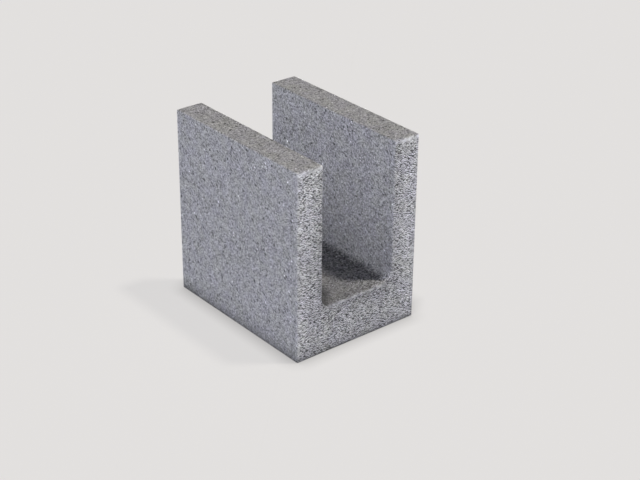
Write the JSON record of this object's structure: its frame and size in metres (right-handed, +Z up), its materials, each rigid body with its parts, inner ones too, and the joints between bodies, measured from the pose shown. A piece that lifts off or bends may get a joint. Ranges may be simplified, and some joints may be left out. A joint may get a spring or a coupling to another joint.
{
  "type": "concrete channel block",
  "caption": "U-shaped concrete block with a thick floor and two upright walls, whose open channel takes reinforcing bars and poured concrete over an opening or along a wall.",
  "frame": {"origin": "on the bed face, under the middle of the block", "axes": "+X across the channel, +Y along the channel, +Z up out of the open channel"},
  "size_m": [0.185, 0.24, 0.25],
  "materials": {
    "concrete": "matte"
  },
  "bodies": {
    "root": {"channel_block": "concrete"}
  },
  "joints": []
}
